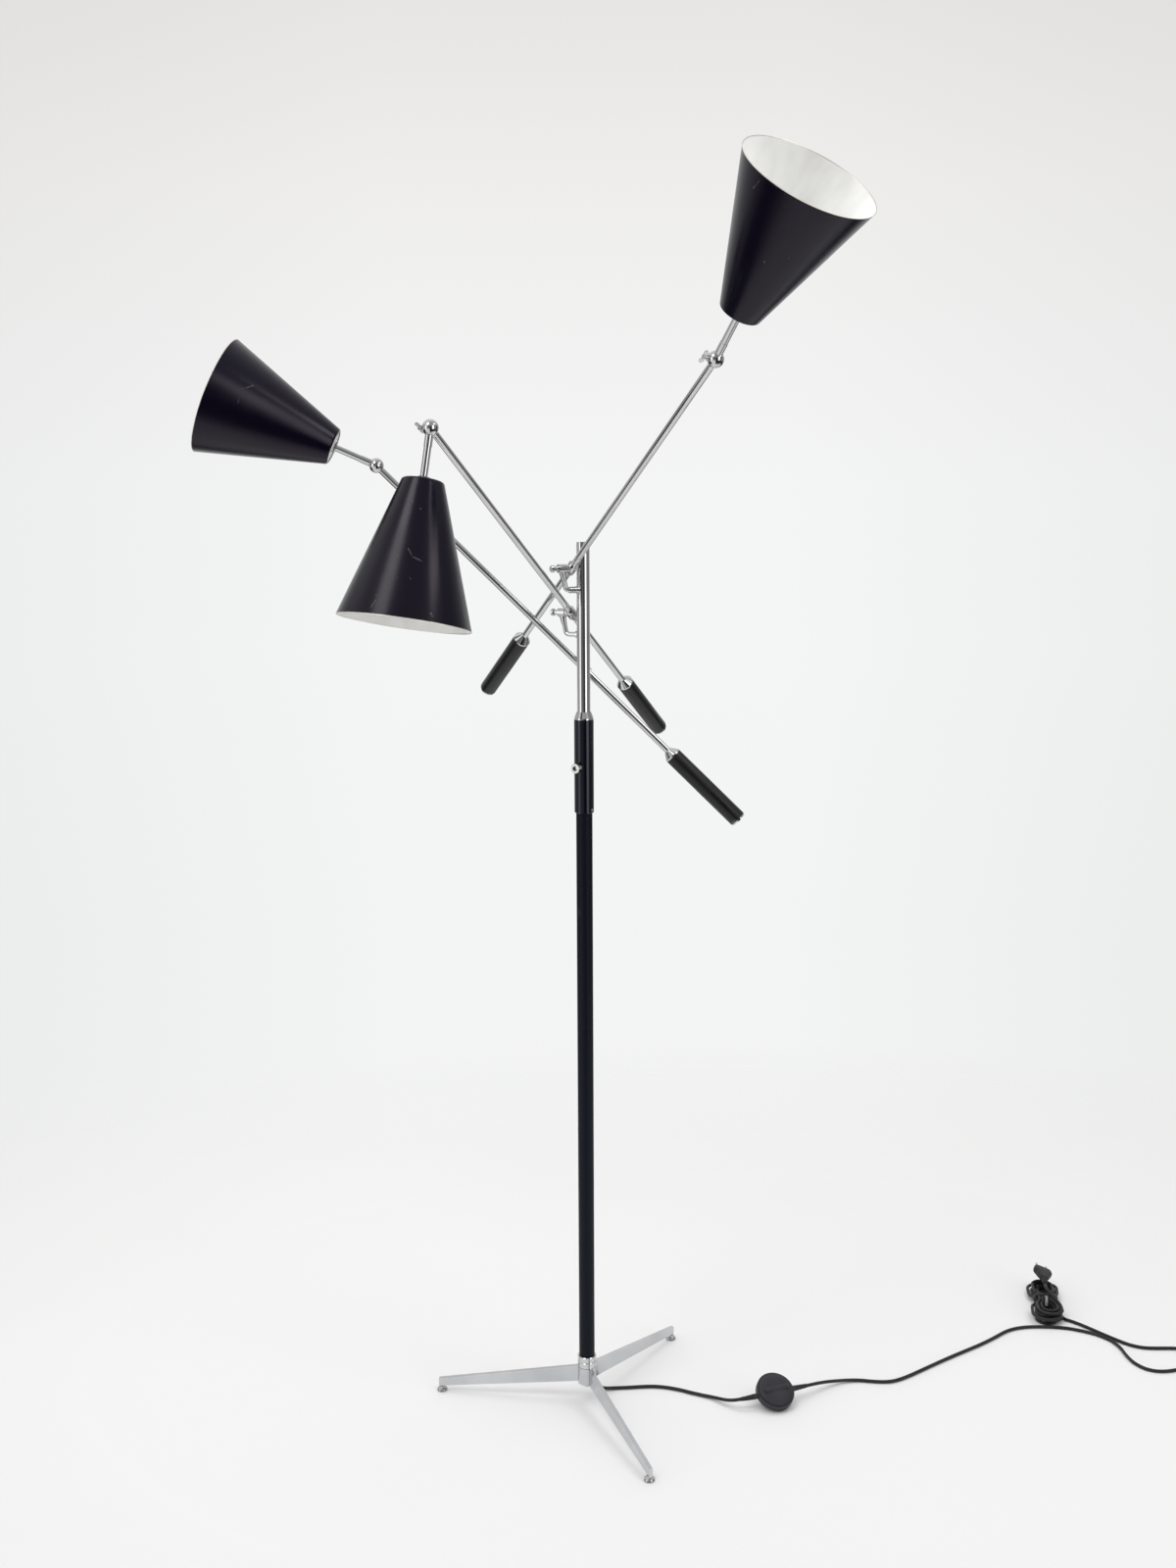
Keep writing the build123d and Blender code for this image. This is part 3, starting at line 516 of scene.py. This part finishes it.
def thicken(piece, finish):
    """Give a line the cord's thickness and its sheath."""
    piece.data.bevel_depth = cord_diameter / 2
    piece.data.bevel_resolution = 5
    piece.data.use_fill_caps = True
    piece.data.materials.append(finish)


cord_black = moulded("cord_black", deep=(0.012, 0.012, 0.012), pale=(0.024, 0.023, 0.023),
                     smooth=0.36, rough=0.50, grain_scale=500.0, depth=0.00004)
near_cord = cord_line("near_cord", [
    (0.0, 0.0, 0.0270),
    (0.0055, 0.0056, 0.0244),
    (0.0130, 0.0130, 0.0182),
    (0.0200, 0.0195, 0.0100),
    (0.0300, 0.0250, 0.0042),
    (0.0450, 0.0285, on_floor),
    (0.066, 0.0295, on_floor),
    (0.092, 0.0325, on_floor),
    (0.117, 0.033, on_floor),
    (0.147, 0.025, on_floor),
    (0.177, 0.010, on_floor),
    (0.205, -0.002, on_floor + 0.0008),
    (0.229, -0.024, 0.0100),
    switch_middle - switch_axis * (switch_reach + entry_run),
    switch_middle - switch_axis * switch_reach,
])
near_spots = spots_on(near_cord)
thicken(near_cord, cord_black)
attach(near_cord, "base")
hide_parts("cord_near")

# The cord is wound to and fro in layers of four runs. run_pattern says how far out each run lies, in
# half steps. The tie draws the runs in at the waist and lifts them a little, and the turns at both
# ends are slack by different lengths and fan out to the sides.
hank_waist = Vector((0.831, 0.296, 0.0))
hank_bearing = radians(80)
hank_along = Vector((cos(hank_bearing), sin(hank_bearing), 0.0))
hank_across = Vector((sin(hank_bearing), -cos(hank_bearing), 0.0))
plug_height = 0.03630
plug_start = 0.0195
hank_runs = 15
lobe = 0.041
first_offset = 0.012
half_step = 0.0033
draw_in = 0.0085
layer = 0.006
run_pattern = (3, 2, 1, 0, 1, 2, 3, 4)
turn_slack = (0.005, 0.006, -0.002, 0.000, 0.002, 0.004, 0.008,
              0.009, 0.004, 0.001, 0.000, -0.003, 0.003, 0.002)
fan_out = (0.001, -0.0015, -0.002, 0.0015, 0.002, -0.002, -0.001, 0.002)
tie_lift = 0.0012


def turn_fan(turn):
    """How far a turn leans to one side; turns at the same end of a layer lean together."""
    return fan_out[2 * ((turn + 1) // 4) + turn % 2]


def hank_spot(along, across, height):
    """A point of the hank, from its waist on the floor."""
    return hank_waist + hank_along * along + hank_across * across + Vector((0.0, 0.0, height))


def hank_turns():
    """Points of the wound cord: runs drawn in at the waist, and loose turns at both ends."""
    shoulder = lobe * 0.58
    tied = lobe * 0.34
    rounding = 0.414
    points = []
    for run in range(hank_runs):
        side = 1 if run % 2 == 0 else -1
        offset = first_offset + half_step * run_pattern[run % 8]
        waist = offset - draw_in
        low = on_floor + layer * (run // 4)
        high = low + layer if run % 4 == 3 else low
        middle = (low + high) / 2 + tie_lift
        if run > 0:
            start_fan = turn_fan(run - 1)
            points.append(hank_spot(-side * lobe, side * offset + start_fan, low))
            points.append(hank_spot(-side * shoulder, side * offset + start_fan / 2, low))
        if run == hank_runs - 1:
            points.append(hank_spot(0.0, 0.0, plug_height))
            points.append(hank_spot(0.014, 0.0, plug_height))
            points.append(hank_spot(plug_start, 0.0, plug_height))
            break
        end_fan = turn_fan(run)
        points.append(hank_spot(-side * tied, side * waist, middle))
        points.append(hank_spot(side * tied, side * waist, middle))
        points.append(hank_spot(side * shoulder, side * offset + end_fan / 2, high))
        points.append(hank_spot(side * lobe, side * offset + end_fan, high))
        after = first_offset + half_step * run_pattern[(run + 1) % 8]
        radius = (offset + after) / 2
        centre = side * (offset - after) / 2 + end_fan
        reach = lobe + turn_slack[run]
        for out, across in ((rounding, 1.0), (1.0, rounding), (1.0, -rounding), (rounding, -1.0)):
            along = side * (reach + out * radius)
            points.append(hank_spot(along, centre + side * across * radius, high))
    return points


far_cord = cord_line("far_cord", [
    switch_middle + switch_axis * switch_reach,
    switch_middle + switch_axis * (switch_reach + entry_run),
    (0.388, 0.0265, 0.0125),
    (0.418, 0.044, 0.0050),
    (0.450, 0.050, on_floor),
    (0.478, 0.044, on_floor),
    (0.506, 0.0435, on_floor),
    (0.533, 0.058, on_floor),
    (0.571, 0.086, on_floor),
    (0.621, 0.122, on_floor),
    (0.680, 0.161, on_floor),
    (0.711, 0.185, on_floor),
    (0.741, 0.211, on_floor),
    (0.772, 0.222, on_floor),
    (0.808, 0.2225, on_floor),
    (0.845, 0.218, on_floor),
    (0.872, 0.207, on_floor),
    (0.895, 0.193, on_floor),
    (0.913, 0.172, on_floor),
    (0.920, 0.148, on_floor),
    (0.921, 0.122, on_floor),
    (0.927, 0.096, on_floor),
    (0.943, 0.076, on_floor),
    (0.967, 0.071, on_floor),
    (0.995, 0.078, on_floor),
    (1.026, 0.086, on_floor),
    (1.050, 0.104, on_floor),
    (1.047, 0.132, on_floor),
    (1.020, 0.147, on_floor),
    (0.988, 0.147, on_floor),
    (0.958, 0.148, on_floor),
    (0.936, 0.160, on_floor),
    (0.918, 0.179, on_floor),
    (0.899, 0.2005, on_floor),
    (0.882, 0.221, on_floor),
    (0.864, 0.240, on_floor),
    hank_spot(-0.0430, 0.0274, on_floor),
    *hank_turns(),
])
far_spots = spots_on(far_cord)
thicken(far_cord, cord_black)
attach(far_cord, "base")
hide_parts("cord_far", "hank")


# Strain reliefs
# Moulded rubber sleeves that taper along the cord where it leaves the gland and the switch. Each
# has shallow rings, and bends with the cord inside it.
def relief(name, spots, wide, narrow, length, rings):
    """A tapered, ringed sleeve along the first part of a line."""
    sides = 20
    steps_per_ring = 6
    steps = rings * steps_per_ring
    swell = 0.00025
    shortest_leg = 0.0006
    path = [spots[0]]
    for spot in spots[1:]:
        if (spot - path[-1]).length > shortest_leg:
            path.append(spot)
    travelled = [0.0]
    for before, after in zip(path, path[1:]):
        travelled.append(travelled[-1] + (after - before).length)
    points = []
    for step in range(steps + 1):
        along = length * step / steps
        leg = max(index for index, reached in enumerate(travelled) if reached <= along)
        heading = (path[leg + 1] - path[leg]).normalized()
        spot = path[leg] + heading * (along - travelled[leg])
        radius = wide + (narrow - wide) * step / steps
        if step < steps - steps_per_ring / 2:
            radius += swell * cos(2 * pi * step / steps_per_ring)
        turn = heading.to_track_quat("X", "Z").to_matrix()
        for side in range(sides):
            angle = 2 * pi * side / sides
            points.append(spot + turn @ Vector((0.0, radius * cos(angle), radius * sin(angle))))
    faces = ring_faces(steps + 1, sides, closed=True)
    piece = smooth_piece(name, points, faces, [rubber_black], sharp=50)
    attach(piece, "base")
    return piece


gland_relief = relief("gland_relief", near_spots, wide=0.0041, narrow=0.0030, length=0.022, rings=5)
switch_relief_near = relief("switch_relief_near", near_spots[::-1],
                            wide=0.0044, narrow=0.0031, length=0.022, rings=5)
switch_relief_far = relief("switch_relief_far", far_spots,
                           wide=0.0044, narrow=0.0031, length=0.022, rings=5)


# Plug
# A flat two-pin plug moulded on the cord in black, with a tapered ringed neck and ribs for the
# fingers. The pins are nickel-plated brass, each in a black sleeve on the half next to the body.
def squared_ring(distance, half_width, half_height, squareness, sides):
    """Points of a ring across X, from round at 2 to nearly rectangular at 6."""
    ring = []
    for side in range(sides):
        angle = 2 * pi * side / sides
        out = abs(cos(angle)) ** (2 / squareness) * (1 if cos(angle) > 0 else -1)
        up = abs(sin(angle)) ** (2 / squareness) * (1 if sin(angle) > 0 else -1)
        ring.append((distance, half_width * out, half_height * up))
    return ring


def plug_neck():
    """Rings of the neck: (distance, half width, half height, squareness)."""
    length = 0.020
    start_radius = 0.0038
    growth = 0.0014
    rings = 5
    ring_height = 0.00045
    steps = 40
    sections = []
    for step in range(steps + 1):
        along = step / steps
        radius = start_radius + growth * along + ring_height * cos(2 * pi * rings * along)
        sections.append((length * along, radius, radius, 2.0))
    return sections


def plug_grip():
    """Rings of the body between neck and face: it widens, then narrows, with ribs at the sides."""
    start = 0.0215
    widest = 0.044
    end = 0.0535
    start_half = 0.0078
    widest_half = 0.0169
    rib_start = 0.0330
    rib_end = 0.0470
    ribs = 4
    rib_depth = 0.0006
    steps = 48
    sections = []
    for step in range(steps + 1):
        along = start + (end - start) * step / steps
        if along < widest:
            share = (along - start) / (widest - start)
            half_width = start_half + (widest_half - start_half) * share ** 0.9
        else:
            half_width = widest_half - 0.0013 * ((along - widest) / 0.012) ** 1.5
        if rib_start < along < rib_end:
            share = (along - rib_start) / (rib_end - rib_start)
            half_width -= rib_depth * sin(pi * ribs * share) ** 2
        half_height = 0.0057 + 0.00110 * min(1.0, (along - start) / 0.0200)
        squareness = 3.0 + 1.4 * min(1.0, (along - start) / 0.0150)
        sections.append((along, half_width, half_height, squareness))
    return sections


def moulded_plug(name, place, finish):
    """The plug's neck and body, one ring after another from the cord to the face."""
    sides = 56
    sections = [
        *plug_neck(),
        (0.0202, 0.0066, 0.0053, 2.6),
        (0.0208, 0.0074, 0.0056, 3.0),
        *plug_grip(),
        (0.0548, 0.0154, 0.0066, 4.6),
        (0.0556, 0.0150, 0.0063, 4.6),
        (0.0560, 0.0144, 0.0058, 4.6),
    ]
    points = []
    for section in sections:
        points += squared_ring(*section, sides)
    faces = ring_faces(len(sections), sides, closed=True)
    return smooth_piece(name, points, faces, [finish], sharp=45, place=place)


plug_black = moulded("plug_black", deep=(0.012, 0.012, 0.013), pale=(0.024, 0.023, 0.025),
                     smooth=0.38, rough=0.52, grain_scale=1300.0, depth=0.00004)
pin_nickel = plated("pin_nickel", dull=(0.46, 0.44, 0.40), bright=(0.62, 0.60, 0.55),
                    smooth=0.14, rough=0.28, mark_scale=400.0)
plug_lean = radians(20)
plug_place = (Matrix.Translation(hank_spot(plug_start, 0.0, plug_height))
              @ Matrix.Rotation(hank_bearing, 4, "Z") @ Matrix.Rotation(plug_lean, 4, "X"))
plug_body = moulded_plug("plug_body", plug_place, plug_black)
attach(plug_body, "base")
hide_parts("plug")
sleeved = 0
bare = 1
pin_outline = [
    (0.0550, 0.00200, sleeved),
    (0.0655, 0.00200, sleeved),
    (0.0657, 0.00192, bare),
    (0.0659, 0.00188, bare),
    (0.0735, 0.00188, bare),
    (0.0744, 0.00165, bare),
    (0.0749, 0.00115, bare),
    (0.0750, 0.00001, bare),
]
pin_offset = 0.00925
plug_pins = []
for side in (-1, 1):
    pin_place = plug_place @ Matrix.Translation((0.0, side * pin_offset, 0.0))
    pin = turned(f"plug_pin_{len(plug_pins) + 1}", pin_outline, pin_place,
                 [plug_black, pin_nickel], sides=32)
    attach(pin, "base")
    plug_pins.append(pin)


# Hank tie
# A strap of soft black plastic goes once round the hank's waist and pulls the runs of cord together.
# Its ends overlap under the hank, where they don't show.
def hank_strap(name, finish):
    """A flat band with rounded corners round the hank's waist."""
    half_width = 0.0205
    bottom = 0.0002
    top = 0.0262
    corner = 0.0075
    thick = 0.0010
    strap_half = 0.0042
    eased = strap_half * 0.93
    corner_steps = 12
    contour = []
    for quarter, (across_sign, up_sign) in enumerate(((1, 1), (-1, 1), (-1, -1), (1, -1))):
        for step in range(corner_steps + 1):
            angle = pi / 2 * (quarter + step / corner_steps)
            across = across_sign * (half_width - corner)
            height = (top - corner) if up_sign > 0 else (bottom + corner)
            contour.append((across, height, cos(angle), sin(angle)))
    section = [(-strap_half, 0.25), (-strap_half, 0.75), (-eased, 1.0), (0.0, 1.06), (eased, 1.0),
               (strap_half, 0.75), (strap_half, 0.25), (eased, 0.0), (-eased, 0.0)]
    points = []
    for across, height, out, up in contour:
        for along, rise in section:
            reach = corner - thick + thick * rise
            points.append(hank_spot(along, across + out * reach, height + up * reach))
    faces = []
    sides = len(section)
    for ring in range(len(contour)):
        low = ring * sides
        high = (ring + 1) % len(contour) * sides
        for side in range(sides):
            after = (side + 1) % sides
            faces.append((low + side, high + side, high + after, low + after))
    return smooth_piece(name, points, faces, [finish], sharp=50)


hank_tie = hank_strap("hank_tie", rubber_black)
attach(hank_tie, "base")


# Floor
# A pale matt studio floor under the lamp and its cord. It turns clear with distance, so that it ends
# softly against the background.
def studio_floor():
    """Matt white that fades out with distance, later to the sides than to the front and back."""
    full_to = 0.72
    clear_from = 1.6
    finish, tree, shader, where = new_finish("floor_white")
    colour = to_colour(tree, grain(tree, where, 1.2, 2.0),
                       (0.3, (0.90, 0.895, 0.895)), (0.7, (0.91, 0.905, 0.905)))
    tree.links.new(colour, shader.inputs["Base Color"])
    shader.inputs["Roughness"].default_value = 0.85
    shader.inputs["Specular IOR Level"].default_value = 0.1
    squeeze = tree.nodes.new("ShaderNodeMapping")
    squeeze.inputs["Scale"].default_value = (0.65, 1.0, 1.0)
    tree.links.new(where, squeeze.inputs["Vector"])
    distance = tree.nodes.new("ShaderNodeVectorMath")
    distance.operation = "LENGTH"
    tree.links.new(squeeze.outputs["Vector"], distance.inputs[0])
    fade = to_range(tree, distance.outputs["Value"], full_to, clear_from, 0.0, 1.0)
    clear = tree.nodes.new("ShaderNodeBsdfTransparent")
    blend = tree.nodes.new("ShaderNodeMixShader")
    tree.links.new(fade, blend.inputs["Fac"])
    tree.links.new(shader.outputs["BSDF"], blend.inputs[1])
    tree.links.new(clear.outputs["BSDF"], blend.inputs[2])
    tree.links.new(blend.outputs["Shader"], tree.nodes["Material Output"].inputs["Surface"])
    return finish


floor_reach = 2.6
floor_corners = [(-floor_reach, -floor_reach, 0), (floor_reach, -floor_reach, 0),
                 (floor_reach, floor_reach, 0), (-floor_reach, floor_reach, 0)]
floor = smooth_piece("floor", floor_corners, [(0, 1, 2, 3)], [studio_floor()], sharp=50)
floor.location = (0.25, 0.18, -0.0002)


# Background and room
# A pale background stands behind the lamp, and shiny pieces mirror it at their edges. Elsewhere they
# mirror a dim room, with a bright strip on either side, paler walls above and a pale patch low down.
world = bpy.data.worlds.new("studio")
bpy.context.scene.world = world
world.use_nodes = True
sky = world.node_tree
direction = sky.nodes.new("ShaderNodeSeparateXYZ")
sky.links.new(sky.nodes.new("ShaderNodeTexCoord").outputs["Generated"], direction.inputs["Vector"])
rightward = direction.outputs["X"]
away = direction.outputs["Y"]
upward = direction.outputs["Z"]
backdrop = to_colour(sky, to_range(sky, upward, -0.25, 0.30, 0.0, 1.0),
                     (0.0, (0.895, 0.905, 0.900)), (0.30, (0.905, 0.922, 0.913)),
                     (0.465, (0.905, 0.913, 0.910)), (0.62, (0.885, 0.885, 0.883)),
                     (0.77, (0.862, 0.855, 0.848)), (1.0, (0.785, 0.770, 0.760)))
seen = sky.nodes.new("ShaderNodeVectorMath")
seen.operation = "SCALE"
sky.links.new(backdrop, seen.inputs[0])
dimmer_sides = to_range(sky, combine(sky, "ABSOLUTE", rightward), 0.12, 0.36, 1.0, 0.93)
sky.links.new(dimmer_sides, seen.inputs["Scale"])
toward_viewer = combine(sky, "MULTIPLY", away, -1.0)
bearing = combine(sky, "ARCTAN2", rightward, toward_viewer)
level_room = ((-180, 0.84), (-155, 0.70), (-125, 0.52), (-95, 0.44), (-72, 0.42), (-68, 1.60),
              (-48, 1.60), (-44, 0.24), (-10, 0.14), (6, 0.09), (11, 0.03), (24, 0.03),
              (30, 0.10), (33, 2.20), (54, 2.20), (58, 0.26), (98, 0.26), (120, 0.32),
              (140, 0.46), (158, 0.72), (180, 0.84))
upper_room = ((-180, 0.80), (-125, 0.80), (-105, 0.85), (-86, 0.64), (-68, 0.58), (-20, 0.42),
              (45, 0.38), (90, 0.48), (116, 0.62), (180, 0.78))
lower_room = ((-180, 0.04), (-84, 0.02), (-72, 0.85), (-12, 0.85), (0, 0.02), (180, 0.04))


def around(levels):
    """A room's brightness from (bearing in degrees, level), seen from the lamp."""
    stops = [(0.5 + degrees / 360, (level, level, level)) for degrees, level in levels]
    return to_colour(sky, to_range(sky, bearing, -pi, pi, 0.0, 1.0), *stops)


def blended(factor, first, second):
    """The first surroundings where the factor is 0, and the second where it is 1."""
    node = sky.nodes.new("ShaderNodeMix")
    node.data_type = "RGBA"
    sky.links.new(factor, node.inputs["Factor"])
    sky.links.new(first, node.inputs["A"])
    sky.links.new(second, node.inputs["B"])
    return node.outputs["Result"]


# The upper walls begin about 27 degrees above the level, and the low patch about 14 below it. The
# camera sees the background, and so do mirrored rays that go straight back; all others see the room.
walls = blended(to_range(sky, upward, 0.37, 0.53, 0.0, 1.0), around(level_room), around(upper_room))
room = blended(to_range(sky, upward, -0.36, -0.12, 1.0, 0.0), walls, around(lower_room))
rays = sky.nodes.new("ShaderNodeLightPath")
mirrored = combine(sky, "MAXIMUM", rays.outputs["Is Glossy Ray"], rays.outputs["Is Transmission Ray"])
behind = combine(sky, "MULTIPLY", mirrored, to_range(sky, away, 0.70, 0.92, 0.0, 1.0))
pale = combine(sky, "MAXIMUM", rays.outputs["Is Camera Ray"], behind)
background = sky.nodes["Background"]
sky.links.new(blended(pale, room, seen.outputs["Vector"]), background.inputs["Color"])
background.inputs["Strength"].default_value = 1.0


# Lights and camera
# Soft boxes above and on both sides, a weak fill on the right, and a low box for light that the floor
# throws back. Only the two side boxes show in the metal. The camera is where the picture was taken.
def soft_box(name, location, target, width, height, power, mirrored=True, spread=180):
    """A flat light that faces its target; it shows in shiny pieces only if mirrored."""
    lamp = bpy.data.lights.new(name, "AREA")
    lamp.shape = "RECTANGLE"
    lamp.size = width
    lamp.size_y = height
    lamp.energy = power
    lamp.spread = radians(spread)
    stand = bpy.data.objects.new(name, lamp)
    stand.location = location
    stand.rotation_euler = (Vector(target) - Vector(location)).to_track_quat("-Z", "Y").to_euler()
    stand.visible_glossy = mirrored
    bpy.context.scene.collection.objects.link(stand)


soft_box("top_box", location=(0.2, 0.0, 4.6), target=(0.2, 0.0, 0.6),
         width=5.2, height=4.4, power=84.0, mirrored=False)
soft_box("left_box", location=(-1.46, -1.58, 3.8), target=(-0.2, 0.0, 1.5),
         width=1.15, height=1.3, power=20.0)
soft_box("right_box", location=(1.98, -0.90, 3.2), target=(-0.2, 0.0, 1.5),
         width=1.0, height=0.9, power=8.5)
soft_box("fill_box", location=(2.6, -1.3, 2.9), target=(0.45, 0.0, 1.95),
         width=1.2, height=1.2, power=2.6, mirrored=False, spread=60)
soft_box("bounce_box", location=(-0.2, -0.75, 0.02), target=(-0.2, -0.75, 2.0),
         width=1.6, height=0.7, power=6.0, mirrored=False)

camera = bpy.data.cameras.new("camera")
camera.lens = 37.125
camera.sensor_width = 36.0
viewer = bpy.data.objects.new("camera", camera)
viewer.matrix_world = (Matrix.Translation((0.005886, -2.42765, 1.44702))
                       @ Matrix.Rotation(radians(80.027), 4, "X")
                       @ Matrix.Rotation(radians(-0.264), 4, "Z"))
bpy.context.scene.collection.objects.link(viewer)
bpy.context.scene.camera = viewer
bpy.context.scene.view_settings.view_transform = "Standard"
